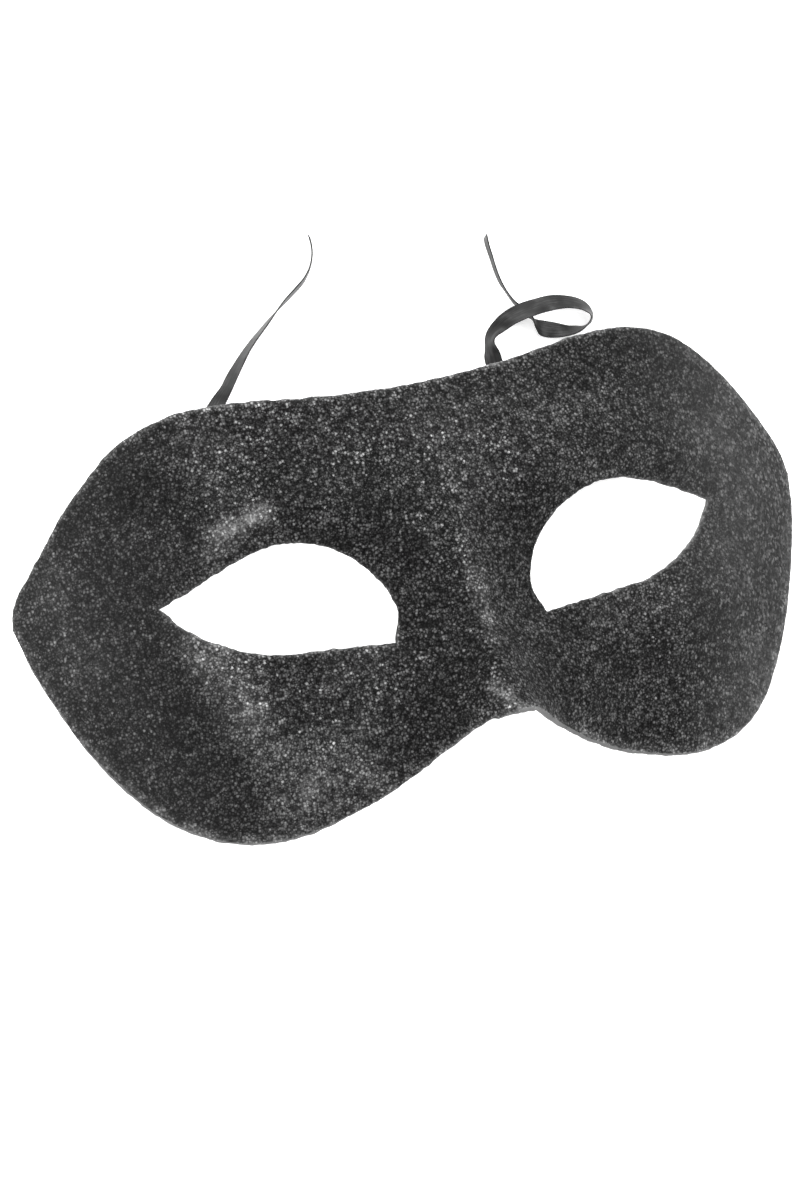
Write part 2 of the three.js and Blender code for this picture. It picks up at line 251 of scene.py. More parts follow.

# Ribbons. The selvedge is the thicker edge, and its reach is a share of half the width. A route has this
# many points between two of its listed points, and is then spaced evenly by the ribbon's step.
RIBBON_WIDTH = 0.004
RIBBON_THICK = 0.0003
SELVEDGE = 0.0004
SELVEDGE_REACH = 0.1
SECTION_STEPS = 16
CORNER_POWER = 24
ROUTE_STEPS = 12
RIBBON_STEP = 0.0006

# Each ribbon point is x, y, z and the direction across the ribbon's width
LEFT_ROOT = [
    (-0.0846, 0.0040, 0.0047, 0.76, 0, 0.65),
    (-0.0846, 0.0095, 0.0056, 0.76, 0, 0.65),
    (-0.0842, 0.0160, 0.0044, 0.6, 0, 0.8),
    (-0.0818, 0.0240, 0.0027, 0.3, 0, 0.95),
    (-0.0762, 0.0318, 0.0022, 0, 0, 1),
    (-0.0690, 0.0388, 0.0022, 0, 0, 1),
    (-0.0614, 0.0452, 0.0022, 0, 0, 1),
    (-0.0546, 0.0482, 0.0022, 0, 0, 1),
    (-0.0475, 0.0484, 0.0022, 0, 0, 1),
]
LEFT_CROSSING = [
    (-0.0579, 0.0362, 0.0022, 0, 0, 1),
    (-0.0559, 0.0414, 0.0027, 0.25, -0.3, 0.9),
    (-0.0520, 0.0449, 0.0039, 0.5, -0.7, 0.5),
    (-0.0474, 0.0472, 0.0045, 0.5, -0.85, 0.05),
]
LEFT_TAIL = [
    (-0.0411, 0.0499, 0.0044, 0.71, -0.71, 0),
    (-0.0374, 0.0523, 0.0026, 0.62, -0.64, 0.46),
    (-0.0340, 0.0556, 0.0016, 0.5, -0.55, 0.67),
    (-0.0317, 0.0579, 0.0019, 0.38, -0.41, 0.83),
    (-0.0296, 0.0604, 0.0019, 0.35, -0.37, 0.86),
    (-0.0274, 0.0628, 0.0020, 0.28, -0.3, 0.91),
    (-0.0251, 0.0652, 0.0021, 0.19, -0.24, 0.95),
    (-0.0224, 0.0676, 0.0022, 0.14, -0.19, 0.97),
    (-0.0195, 0.0699, 0.0022, 0.11, -0.13, 0.99),
    (-0.0165, 0.0723, 0.0022, 0.03, -0.04, 1),
    (-0.0134, 0.0746, 0.0022, -0.07, 0.09, 0.99),
    (-0.0101, 0.0768, 0.0022, -0.1, 0.13, 0.99),
    (-0.0070, 0.0790, 0.0022, -0.12, 0.14, 0.98),
    (-0.0049, 0.0814, 0.0022, -0.16, 0.11, 0.98),
    (-0.0035, 0.0841, 0.0022, -0.25, 0.09, 0.96),
    (-0.0029, 0.0865, 0.0022, -0.34, 0.05, 0.94),
    (-0.0028, 0.0888, 0.0022, -0.4, 0.01, 0.91),
]
RIGHT_ROOT = [
    (0.0846, 0.0040, 0.0047, -0.76, 0, 0.65),
    (0.0846, 0.0095, 0.0056, -0.76, 0, 0.65),
    (0.0844, 0.0160, 0.0044, -0.6, 0, 0.8),
    (0.0828, 0.0240, 0.0027, -0.3, 0, 0.95),
    (0.0790, 0.0320, 0.0022, 0, 0, 1),
    (0.0746, 0.0390, 0.0022, 0, 0, 1),
    (0.0690, 0.0450, 0.0022, 0, 0, 1),
    (0.0630, 0.0480, 0.0022, 0, 0, 1),
    (0.0566, 0.0483, 0.0022, 0, 0, 1),
]
RIGHT_CROSSING = [
    (0.0405, 0.0270, 0.0022, 0, 0, 1),
    (0.0458, 0.0296, 0.0022, 0, 0, 1),
    (0.0472, 0.0352, 0.0024, 0.1, 0.05, 1),
    (0.0440, 0.0402, 0.0032, 0.4, 0.35, 0.8),
    (0.0386, 0.0434, 0.0043, 0.7, 0.6, 0.3),
    (0.0341, 0.0462, 0.0045, 0.9, 0.4, 0),
]
RIGHT_TAIL = [
    (0.0324, 0.0483, 0.0044, 1, 0, 0),
    (0.0317, 0.0505, 0.0034, 0.87, -0.24, 0.42),
    (0.0317, 0.0526, 0.0032, 0.83, -0.3, 0.47),
    (0.0318, 0.0546, 0.0031, 0.41, -0.41, 0.82),
    (0.0319, 0.0560, 0.0032, 0.14, -0.46, 0.88),
    (0.0323, 0.0571, 0.0033, 0.07, -0.55, 0.83),
    (0.0333, 0.0583, 0.0035, 0.15, -0.66, 0.74),
    (0.0350, 0.0594, 0.0040, 0.27, -0.82, 0.51),
    (0.0371, 0.0604, 0.0050, 0.38, -0.88, 0.29),
    (0.0408, 0.0614, 0.0055, 0.09, -0.99, 0.06),
    (0.0459, 0.0622, 0.0046, -0.08, -0.97, 0.25),
    (0.0499, 0.0627, 0.0030, -0.13, -0.94, 0.3),
    (0.0531, 0.0625, 0.0022, -0.15, -0.89, 0.43),
    (0.0560, 0.0615, 0.0021, -0.42, -0.73, 0.54),
    (0.0575, 0.0602, 0.0022, -0.62, -0.44, 0.65),
    (0.0582, 0.0586, 0.0022, -0.56, -0.04, 0.83),
    (0.0578, 0.0572, 0.0022, -0.22, 0.12, 0.97),
    (0.0565, 0.0563, 0.0021, -0.05, -0.1, 0.99),
    (0.0545, 0.0559, 0.0019, -0.2, -0.55, 0.81),
    (0.0521, 0.0559, 0.0016, -0.1, -0.77, 0.63),
    (0.0495, 0.0566, 0.0010, 0, -0.95, 0.3),
    (0.0472, 0.0575, 0.0005, 0.05, -1, 0.05),
    (0.0456, 0.0582, 0.0008, 0, -1, 0.1),
    (0.0446, 0.0591, 0.0016, -0.25, -0.76, 0.6),
    (0.0438, 0.0604, 0.0021, -0.15, -0.2, 0.97),
    (0.0424, 0.0625, 0.0022, -0.14, -0.11, 0.98),
    (0.0408, 0.0648, 0.0022, -0.25, -0.14, 0.96),
    (0.0397, 0.0675, 0.0022, -0.31, -0.11, 0.95),
    (0.0389, 0.0703, 0.0022, -0.25, -0.05, 0.97),
    (0.0386, 0.0730, 0.0022, -0.22, -0.01, 0.98),
    (0.0385, 0.0760, 0.0022, -0.2, -0.01, 0.98),
    (0.0384, 0.0788, 0.0022, -0.17, 0, 0.99),
    (0.0385, 0.0812, 0.0022, -0.13, 0.01, 0.99),
]

# Both hanks: their straight runs, their middle, the level of the strip's centre, the step in from one
# turn to the next, and the points in a turn
HANK_RUN = 0.039
HANK_Y = 0.0358
HANK_LEVEL = 0.0022
HANK_PITCH = 0.00155
HANK_POINTS = 24

# Each hank: where it stands, the radius of its outer fold, its turns, and its way round
# (1 anticlockwise, -1 clockwise). The root joins the first run, whose points before "joined" are left out.
LEFT_HANK = {"x": -0.0295, "fold": 0.0107, "turns": 1.83, "way": -1, "joined": -0.0400}
RIGHT_HANK = {"x": 0.0385, "fold": 0.0114, "turns": 1.60, "way": 1, "joined": 0.0490}

# Tie round each hank: its strip, how far it stands off the hank's middle and outside the folds,
# its lowest and highest level, its dip between the runs, and how its ends round over the folds
TIE_WIDTH = 0.0016
TIE_THICK = 0.00012
TIE_OFFSET = 0.006
TIE_OUTSIDE = 0.0006
TIE_LOW = 0.00012
TIE_HIGH = 0.00446
TIE_DIP = 0.0011
TIE_BULGE = 0.0001
TIE_SHOULDER = 0.0012
TIE_FOOT = 0.0010
TIE_STEPS = 24


def tilted(x, y, z):
    """A direction or point of the mask's own front view, turned into the lying pose."""
    c, s = math.cos(LYING_TILT), math.sin(LYING_TILT)
    return np.array([x, y * c - z * s, y * s + z * c])


def smooth_step(low, high, value):
    t = np.clip((value - low) / (high - low), 0, 1)
    return t * t * (3 - 2 * t)


# Line work


def smooth_line(points, per_stretch):
    """Centripetal spline through the points; columns after the third are carried along."""
    p = np.array(points, float)
    knots = run_length(p, 0.5)
    first = 2 * p[0] - p[1]
    last = 2 * p[-1] - p[-2]
    p = np.vstack([first, p, last])
    knots = np.r_[2 * knots[0] - knots[1], knots, 2 * knots[-1] - knots[-2]]
    out = []
    for i in range(1, len(p) - 2):
        t0, t1, t2, t3 = knots[i - 1 : i + 3]
        t = np.linspace(t1, t2, per_stretch, endpoint=False)[:, None]
        a1 = (t1 - t) / (t1 - t0) * p[i - 1] + (t - t0) / (t1 - t0) * p[i]
        a2 = (t2 - t) / (t2 - t1) * p[i] + (t - t1) / (t2 - t1) * p[i + 1]
        a3 = (t3 - t) / (t3 - t2) * p[i + 1] + (t - t2) / (t3 - t2) * p[i + 2]
        b1 = (t2 - t) / (t2 - t0) * a1 + (t - t0) / (t2 - t0) * a2
        b2 = (t3 - t) / (t3 - t1) * a2 + (t - t1) / (t3 - t1) * a3
        out.append((t2 - t) / (t2 - t1) * b1 + (t - t1) / (t2 - t1) * b2)
    return np.vstack(out + [p[-2]])


def run_length(line, power=1):
    """Distance along a line at each of its points, or the sum of a power of its steps."""
    return np.r_[0, np.cumsum(np.linalg.norm(np.diff(line[:, :3], axis=0), axis=1) ** power)]


def spaced(line, count, endpoint=True):
    """The same line with this many points at even steps."""
    at = run_length(line)
    wanted = np.linspace(0, at[-1], count, endpoint=endpoint)
    return np.column_stack([np.interp(wanted, at, column) for column in line.T])


def unit(vectors):
    return vectors / np.linalg.norm(vectors, axis=-1, keepdims=True)


def mesh_object(name, points, faces, material):
    mesh = bpy.data.meshes.new(name)
    mesh.from_pydata([tuple(p) for p in points], [], faces)
    mesh.materials.append(material)
    for face in mesh.polygons:
        face.use_smooth = True
    piece = bpy.data.objects.new(name, mesh)
    bpy.context.scene.collection.objects.link(piece)
    return piece


def point_values(piece, name, values):
    attribute = piece.data.attributes.new(name, "FLOAT", "POINT")
    attribute.data.foreach_set("value", np.asarray(values, np.float32))


# Camera


def make_camera(face_point):
    back = Vector(tilted(-math.sin(VIEW_YAW), 0, math.cos(VIEW_YAW)))
    level = Vector(tilted(math.cos(VIEW_YAW), 0, math.sin(VIEW_YAW)))
    upright = Vector(tilted(0, 1, 0))
    right = math.cos(VIEW_ROLL) * level - math.sin(VIEW_ROLL) * upright
    up = math.sin(VIEW_ROLL) * level + math.cos(VIEW_ROLL) * upright
    off_x = (FRAME_WIDE / 2 - FACE_POINT_PIXEL[0]) / PIXELS_PER_METRE
    off_y = (FACE_POINT_PIXEL[1] - FRAME_HIGH / 2) / PIXELS_PER_METRE
    place = Vector(face_point) + off_x * right + off_y * up + VIEW_DISTANCE * back
    data = bpy.data.cameras.new("camera")
    data.sensor_fit = "VERTICAL"
    data.sensor_height = SENSOR_HEIGHT
    data.lens = SENSOR_HEIGHT * PIXELS_PER_METRE * VIEW_DISTANCE / FRAME_HIGH
    camera = bpy.data.objects.new("camera", data)
    camera.matrix_world = Matrix.Translation(place) @ Matrix((right, up, back)).transposed().to_4x4()
    bpy.context.scene.collection.objects.link(camera)
    bpy.context.scene.camera = camera


# Materials


class Shading:
    """The nodes of one material, with short calls for the kinds that are used here."""

    # Mix node: the places of its two ends and of its result, for numbers and for colours
    MIX_PLACES = {"FLOAT": (2, 3, 0), "RGBA": (6, 7, 2)}

    def __init__(self, name):
        self.material = bpy.data.materials.new(name)
        self.material.use_nodes = True
        self.nodes = self.material.node_tree.nodes
        self.links = self.material.node_tree.links
        self.shader = self.nodes["Principled BSDF"]

    def feed(self, socket, value):
        """Link a node's output to a socket, or set the socket to a plain value."""
        if isinstance(value, bpy.types.NodeSocket):
            self.links.new(value, socket)
        else:
            socket.default_value = value

    def surface(self, **values):
        """Sockets of the surface shader."""
        for name, value in values.items():
            self.feed(self.shader.inputs[name.replace("_", " ")], value)

    def node(self, kind, **settings):
        """A new node. Each setting is one of its sockets, or else one of its properties."""
        node = self.nodes.new(kind)
        for name, value in settings.items():
            if name in node.inputs:
                self.feed(node.inputs[name], value)
            else:
                setattr(node, name, value)
        return node

    def object_place(self):
        return self.node("ShaderNodeTexCoord").outputs["Object"]

    def attribute(self, name):
        return self.node("ShaderNodeAttribute", attribute_name=name).outputs["Fac"]

    def noise(self, place, **settings):
        return self.node("ShaderNodeTexNoise", Vector=place, **settings).outputs["Fac"]

    def bump(self, **settings):
        return self.node("ShaderNodeBump", **settings).outputs["Normal"]

    def ramp(self, source, stops):
        """Colour ramp over grey stops: (position, grey)."""
        node = self.node("ShaderNodeValToRGB", Fac=source)
        elements = node.color_ramp.elements
        while len(elements) < len(stops):
            elements.new(0.5)
        for element, (position, grey) in zip(elements, stops):
            element.position = position
            element.color = (grey, grey, grey, 1)
        return node.outputs["Color"]

    def calculation(self, kind, operation, values):
        node = self.node(kind, operation=operation)
        for socket, value in zip(node.inputs, values):
            self.feed(socket, value)
        return node

    def maths(self, operation, *values):
        return self.calculation("ShaderNodeMath", operation, values).outputs[0]

    def vectors(self, operation, *values, scale=None):
        node = self.calculation("ShaderNodeVectorMath", operation, values)
        if scale is not None:
            self.feed(node.inputs["Scale"], scale)
        return node.outputs[0]

    def mixed(self, kind, factor, a, b):
        """Blend of two numbers or two colours."""
        node = self.node("ShaderNodeMix", data_type=kind)
        first, second, result = self.MIX_PLACES[kind]
        for place, value in ((0, factor), (first, a), (second, b)):
            self.feed(node.inputs[place], value)
        return node.outputs[result]


def flake_layer(tree, place, drift, scale, greys):
    """One size of flakes: the cell colours, each cell's luck from 0 to 1, and its grey fading to its rim."""
    cells = tree.node("ShaderNodeTexVoronoi", Vector=place, Scale=scale)
    split = tree.node("ShaderNodeSeparateColor", Color=cells.outputs["Color"])
    luck = tree.maths("ADD", split.outputs["Red"], drift)
    heart = tree.ramp(cells.outputs["Distance"], FLAKE_HEART)
    grey = tree.maths("MULTIPLY", tree.ramp(luck, greys), heart)
    return cells.outputs["Color"], luck, grey


def glitter_material():
    """Black glitter coat over the front, thinning round the rim to the bare grey shell behind."""
    tree = Shading("glitter_shell")
    place = tree.object_place()
    coat = tree.attribute("coat")
    # Painted sheen towards the temples
    painted_sheen = tree.attribute("painted_sheen")
    # Painted highlights and painted shade along the streaks and edges
    painted_light = tree.attribute("painted_light")

    # Where the coat has worn or sprayed thin, single grains end first
    edge = tree.maths("ADD", coat, tree.noise(place, Scale=WORN_SCALE, Detail=3))
    coated = tree.ramp(edge, WORN)

    # Flakes: a grey for each grain, coarse ones over fine ones, gathered in loose clusters
    banks = tree.noise(place, Scale=BANK_SCALE, Detail=2)
    drift = tree.maths("MULTIPLY_ADD", banks, BANK_SHARE, -(CLUSTER_SHARE + BANK_SHARE) / 2)
    clusters = tree.noise(place, Scale=CLUSTER_SCALE, Detail=2)
    drift = tree.maths("MULTIPLY_ADD", clusters, CLUSTER_SHARE, drift)
    turn, luck, coarse_grey = flake_layer(tree, place, drift, COARSE_SCALE, COARSE_GREYS)
    _, fine_luck, fine_grey = flake_layer(tree, place, drift, FINE_SCALE, FINE_GREYS)
    flake_grey = tree.maths("ADD", coarse_grey, fine_grey)

    # Painted sheen evens the flakes to a flat grey towards the temples
    flake_grey = tree.mixed("FLOAT", painted_sheen, flake_grey, SHEEN_GREY)

    # Painted highlight: pale grey clumped between the flakes along the streaks and round the rims, and the
    # flakes along the streaks painted brighter, and darker for painted shade
    light_gain = tree.maths("MAXIMUM", painted_light, 1)
    painted_highlight = tree.maths("MULTIPLY_ADD", light_gain, STREAK_HIGHLIGHT, -STREAK_HIGHLIGHT)
    painted_highlight = tree.maths("MULTIPLY", painted_highlight, tree.maths("MULTIPLY_ADD", drift, HIGHLIGHT_DRIFT, 1))
    on_rim = tree.maths("MULTIPLY_ADD", coat, -RIM_HIGHLIGHT, RIM_HIGHLIGHT)
    painted_highlight = tree.maths("ADD", painted_highlight, on_rim)
    painted_highlight = tree.maths("MULTIPLY", painted_highlight, tree.maths("ADD", fine_luck, HIGHLIGHT_LUCK))
    flakes = tree.maths("MINIMUM", painted_light, STREAK_FLAKES)
    flake_grey = tree.maths("MULTIPLY_ADD", flake_grey, flakes, painted_highlight)

    # Bare shell: pale grey, faintly mottled, and dulled by overspray round the rim
    mottle = tree.noise(place, Scale=MOTTLE_SCALE, Detail=5, Roughness=0.65)
    sprayed = tree.ramp(coat, BARE_SPRAYED)
    bare_grey = tree.maths("MULTIPLY", tree.ramp(mottle, BARE_GREYS), sprayed)

    # The brighter flakes are little mirrors, each lying its own way
    # Where sheen is painted, the flakes lose their mirror
    clear = tree.maths("MAXIMUM", tree.maths("SUBTRACT", coated, painted_sheen), 0)
    metal = tree.maths("MULTIPLY", tree.ramp(luck, FLAKE_MIRROR), clear)
    lean = tree.vectors("SUBTRACT", turn, (0.5, 0.5, 0.5))
    lean = tree.vectors("SCALE", lean, scale=tree.maths("MULTIPLY", coated, FLAKE_LEAN))
    normal = tree.node("ShaderNodeNewGeometry").outputs["Normal"]
    normal = tree.vectors("NORMALIZE", tree.vectors("ADD", normal, lean))
    normal = tree.bump(Height=mottle, Strength=0.35, Distance=0.0001, Normal=normal)

    tree.surface(
        Base_Color=tree.mixed("RGBA", coated, bare_grey, flake_grey),
        Metallic=metal,
        Roughness=tree.mixed("FLOAT", coated, BARE_ROUGHNESS, tree.ramp(luck, FLAKE_ROUGHNESS)),
        Normal=normal,
        IOR=1.42,
        Specular_IOR_Level=0.08,
        Sheen_Weight=0.02,
        Sheen_Roughness=0.4,
    )
    return tree.material


def satin_material():
    """Dark satin ribbon: fine threads across, and smooth bands of sheen along it."""
    tree = Shading("satin_ribbon")
    along = tree.attribute("along")
    across = tree.attribute("across")
    spot = tree.node("ShaderNodeCombineXYZ", X=along, Y=across).outputs[0]
    drawn_out = tree.vectors("MULTIPLY", spot, STREAK_SHAPE)
    streaks = tree.noise(drawn_out, Scale=STREAK_SCALE, Detail=4)
    fold_shade = tree.maths("MULTIPLY", tree.noise(spot, Scale=FOLD_SCALE, Detail=2), FOLD_SHARE)
    # The streaks and folds lighten and darken the base grey: painted sheen bands and painted fold shade; the
    # streaks also set the gloss
    tone = tree.maths("MULTIPLY_ADD", streaks, STREAK_SHARE, fold_shade)
    threads = tree.node("ShaderNodeTexWave", Vector=spot, Scale=THREAD_SCALE, Distortion=THREAD_WAVER,
                        Detail=1, wave_type="BANDS", bands_direction="X")
    weave = tree.maths("MULTIPLY_ADD", streaks, STREAK_RELIEF, threads.outputs["Fac"])
    tree.surface(
        Base_Color=tree.ramp(tone, SATIN_GREYS),
        Roughness=tree.ramp(streaks, SATIN_ROUGHNESS),
        Normal=tree.bump(Height=weave, Strength=0.25, Distance=0.00005),
        Specular_IOR_Level=0.14,
        Sheen_Weight=0.015,
        Sheen_Roughness=0.35,
    )
    return tree.material


def floor_material():
    tree = Shading("floor")
    faint = tree.noise(tree.object_place(), Scale=FLOOR_SCALE, Detail=4)
    tree.surface(
        Base_Color=tree.ramp(faint, FLOOR_GREYS),
        Roughness=0.9,
        Specular_IOR_Level=0.1,
        Emission_Color=(1, 1, 1, 1),
        Emission_Strength=0.5,
    )
    return tree.material


# Ribbons


def hank_points(hank):
    """Turns of a folded hank, each a little inside the one before, from the start of its top run."""
    points = []
    for i in range(int(round(HANK_POINTS * hank["turns"])) + 1):
        turns = i / HANK_POINTS
        fold = hank["fold"] - HANK_PITCH * turns
        quarter, part = divmod(4 * (turns % 1), 1)
        if quarter == 0:
            x, y = HANK_RUN * (part - 0.5), fold
        elif quarter == 1:
            x = HANK_RUN / 2 + fold * math.sin(math.pi * part)
            y = fold * math.cos(math.pi * part)
        elif quarter == 2:
            x, y = HANK_RUN * (0.5 - part), -fold
        else:
            x = -HANK_RUN / 2 - fold * math.sin(math.pi * part)
            y = -fold * math.cos(math.pi * part)
        points.append((hank["x"] - hank["way"] * x, HANK_Y + y, HANK_LEVEL, 0, 0, 1))
    while hank["way"] * (points[0][0] - hank["joined"]) > 0:
        points.pop(0)
    return points


def ribbon_section():
    """Loop round a section of ribbon: place across the width from -1 to 1, and height off its middle."""
    rows = []
    for i in range(SECTION_STEPS + 1):
        u = math.cos(math.pi * (1 - i / SECTION_STEPS))
        bead = math.exp(-(((1 - abs(u)) / SELVEDGE_REACH) ** 2))
        half = (RIBBON_THICK + (SELVEDGE - RIBBON_THICK) * bead) / 2
        rows.append((u, half * (1 - abs(u) ** CORNER_POWER) ** 0.5))
    return rows + [(u, -half) for u, half in rows[-2:0:-1]]


def make_ribbon(side, root, hank, crossing, tail, material):
    route = smooth_line(root + hank_points(hank) + crossing + tail, ROUTE_STEPS)
    route = spaced(route, int(round(run_length(route)[-1] / RIBBON_STEP)) + 1)
    centre, width = route[:, :3], route[:, 3:]
    along = unit(np.gradient(centre, axis=0))
    width = unit(width - (width * along).sum(1)[:, None] * along)
    face = np.cross(along, width)
    section = ribbon_section()
    count = len(section)
    points = []
    for c, w, f in zip(centre, width, face):
        for u, h in section:
            points.append(c + w * (u * RIBBON_WIDTH / 2) + f * h)
    faces = []
    for i in range(len(centre) - 1):
        for j in range(count):
            k = (j + 1) % count
            faces.append((i * count + j, i * count + k, (i + 1) * count + k, (i + 1) * count + j))
    faces.append(tuple(range(count - 1, -1, -1)))
    faces.append(tuple(range(len(points) - count, len(points))))
    piece = mesh_object(f"ribbon_{side}", points, faces, material)
    point_values(piece, "along", np.repeat(run_length(route), count))
    point_values(piece, "across", [u * RIBBON_WIDTH / 2 for _ in centre for u, _ in section])
    tie = make_tie(side, hank, material)
    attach(piece, "root")
    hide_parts(f"ribbon_{side}_root", f"ribbon_{side}_hank", f"ribbon_{side}_tail")


def make_tie(side, hank, material):
    """A narrow strip round the middle of a hank, dipping a little between its two runs."""
    x = hank["x"] + TIE_OFFSET * hank["way"]
    half = hank["fold"] + TIE_OUTSIDE
    end = half + TIE_BULGE
    parts = np.linspace(-1, 1, TIE_STEPS + 1)
    ring = [(part * half, TIE_HIGH - TIE_DIP * (1 - part * part) ** 2) for part in parts]
    ring += [(end, TIE_HIGH - TIE_SHOULDER), (end, TIE_LOW + TIE_FOOT)]
    ring += [(-part * half, TIE_LOW) for part in parts]
    ring += [(-end, TIE_LOW + TIE_FOOT), (-end, TIE_HIGH - TIE_SHOULDER)]
    ring = np.array(ring)
    ahead = np.roll(ring, -1, axis=0) - np.roll(ring, 1, axis=0)
    out = unit(np.column_stack([-ahead[:, 1], ahead[:, 0]]))
    points = []
    for (y, z), (ny, nz) in zip(ring, out):
        for s, t in ((-1, -1), (1, -1), (1, 1), (-1, 1)):
            off = t * TIE_THICK / 2
            points.append((x + s * TIE_WIDTH / 2, HANK_Y + y + off * ny, z + off * nz))
    faces = []
    count = len(ring)
    for i in range(count):
        k = (i + 1) % count
        for j in range(4):
            m = (j + 1) % 4
            faces.append((4 * i + j, 4 * k + j, 4 * k + m, 4 * i + m))
    piece = mesh_object(f"ribbon_{side}_tie", points, faces, material)
    point_values(piece, "along", [p[1] for p in points])
    point_values(piece, "across", [p[0] - x for p in points])
    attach(piece, "root")
    return piece


# Mask shell


def distance_to_line(x, y, line):
    nearest = np.full(np.shape(x), np.inf)
    for (ax, ay), (bx, by) in zip(line, line[1:]):
        dx, dy = bx - ax, by - ay
        t = np.clip(((x - ax) * dx + (y - ay) * dy) / (dx * dx + dy * dy), 0, 1)
        nearest = np.minimum(nearest, np.hypot(x - ax - t * dx, y - ay - t * dy))
    return nearest


def near_line(x, y, line, spread):
    """How near each place is to a line: 1 on it, falling off smoothly over the spread."""
    return np.exp(-((distance_to_line(x, y, line) / spread) ** 2))


def nose(x, y):
    """A rounded ridge that leans out towards the notch and flares into the cheeks."""
    lean = np.clip((NOSE_TOP_Y - y) / (NOSE_TOP_Y - NOSE_NOTCH_Y), 0, 1)
    rise = (BRIDGE_RISE + NOSE_RISE * lean**NOSE_LEAN) * (1 - smooth_step(*RIDGE_FADE, y))
    flare = FLANK_SPREAD + NOTCH_SPREAD * (1 - smooth_step(*NOTCH_FROM_TO, y))
    crest = (x * x + RIDGE_ROUND**2) ** 0.75 - RIDGE_ROUND**1.5
    return (rise / (1 + crest / flare)) * (1 - smooth_step(*NOSE_SIDES, x))


def face_height(x, y):
    """Height of the front face over the plane through the inner eye corners."""
    x = np.abs(x)
    z = -TEMPLE_DROP * (x / HALF_SPAN) ** TEMPLE_POWER
    z = z - CROWN_DROP * ((y - CROWN_Y) / CROWN_HALF) ** 2
    z = z + nose(x, y)
    for line, spread, height in RELIEF:
        z = z + height * near_line(x, y, line, spread)
    return z


def face_normal(x, y):
    d = SLOPE_REACH
    slope_x = (face_height(x + d, y) - face_height(x - d, y)) / (2 * d)
    slope_y = (face_height(x, y + d) - face_height(x, y - d)) / (2 * d)
    return unit(np.stack([-slope_x, -slope_y, np.ones_like(slope_x)], axis=-1))


def edge_slope(plan, out):
    """The outward direction of an edge, lying in the face."""
    d = EDGE_REACH
    rise = face_height(*(plan + d * out).T) - face_height(*(plan - d * out).T)
    return unit(np.column_stack([out, rise / (2 * d)]))


def stretch(points, start, end, count):
    """Even points along an edge curve from one control point to another, without the last one."""
    low, high = sorted((start, end))
    part = smooth_line(points, CURVE_STEPS)[low * CURVE_STEPS : high * CURVE_STEPS + 1]
    if start > end:
        part = part[::-1]
    return spaced(part, count, endpoint=False)


def outward(loop, closed):
    """Unit vectors to the right of the way along a loop of plan points."""
    if closed:
        way = np.roll(loop, -1, axis=0) - np.roll(loop, 1, axis=0)
    else:
        way = np.gradient(loop, axis=0)
    return unit(np.column_stack([way[:, 1], -way[:, 0]]))


def half_plan():
    """Matching points round the right half and round its eye hole, each with its outward directions."""
    crossed = UPPER_EDGE + [(-x, y) for x, y in UPPER_EDGE[-2::-1]]
    rim = np.vstack([
        stretch(LOWER_EDGE, 0, 6, STEPS["lobe"]),
        stretch(LOWER_EDGE, 6, 9, STEPS["cheek"]),
        stretch(LOWER_EDGE, 9, 12, STEPS["jaw"]),
        stretch(crossed, 0, 4, STEPS["temple"]),
        stretch(crossed, 4, 7, STEPS["brow"]),
        stretch(crossed, 7, 8, STEPS["crown"]),
        [(0, BROW_EDGE_Y)],
    ])
    rim_out = outward(rim, closed=False)
    rim_out[0] = (0, -1)
    rim_out[-1] = (0, 1)
    seam_top, seam_low = BROW_EDGE_Y - RIM_ROUND, NOSE_NOTCH_Y + RIM_ROUND
    seam_y = np.r_[
        np.linspace(seam_top, GLABELLA_Y, STEPS["bridge"] + 1)[1:],
        np.linspace(GLABELLA_Y, seam_low, STEPS["nose"] + 1)[1:-1],
    ]
    seam = np.column_stack([np.zeros(len(seam_y)), seam_y])
    eye = np.vstack([
        stretch(EYE_BASE, 6, 4, STEPS["lobe"]),
        stretch(EYE_BASE, 4, 2, STEPS["cheek"]),
        stretch(EYE_BASE, 2, 0, STEPS["jaw"]),
        stretch(EYE_TOP, 8, 6, STEPS["temple"]),
        stretch(EYE_TOP, 6, 4, STEPS["brow"]),
        stretch(EYE_TOP, 4, 3, STEPS["crown"]),
        stretch(EYE_TOP, 3, 1, STEPS["bridge"]),
        stretch(EYE_TOP, 1, 0, STEPS["nose"]),
    ])
    eye_out = -outward(eye, closed=True)
    return rim, rim_out, seam, eye, eye_out


def ragged(x, y):
    """How far the cut edge strays from its line, in millimetres."""
    return sum(size * noise.noise(Vector((x, y, 0)) * often) for size, often in RAGGED)


def coat_reach(name, side, plan):
    """How far round an edge the coat reaches at each of its points."""
    if name == "eye":
        return COAT_ENDS[0]
    bare = 1 - smooth_step(*BARE_BELOW, plan[:, 1])
    if side < 0:
        bare = bare * smooth_step(*BARE_LEFT_BEYOND, plan[:, 0])
    return COAT_ENDS[0] + (COAT_ENDS[1] - COAT_ENDS[0]) * bare


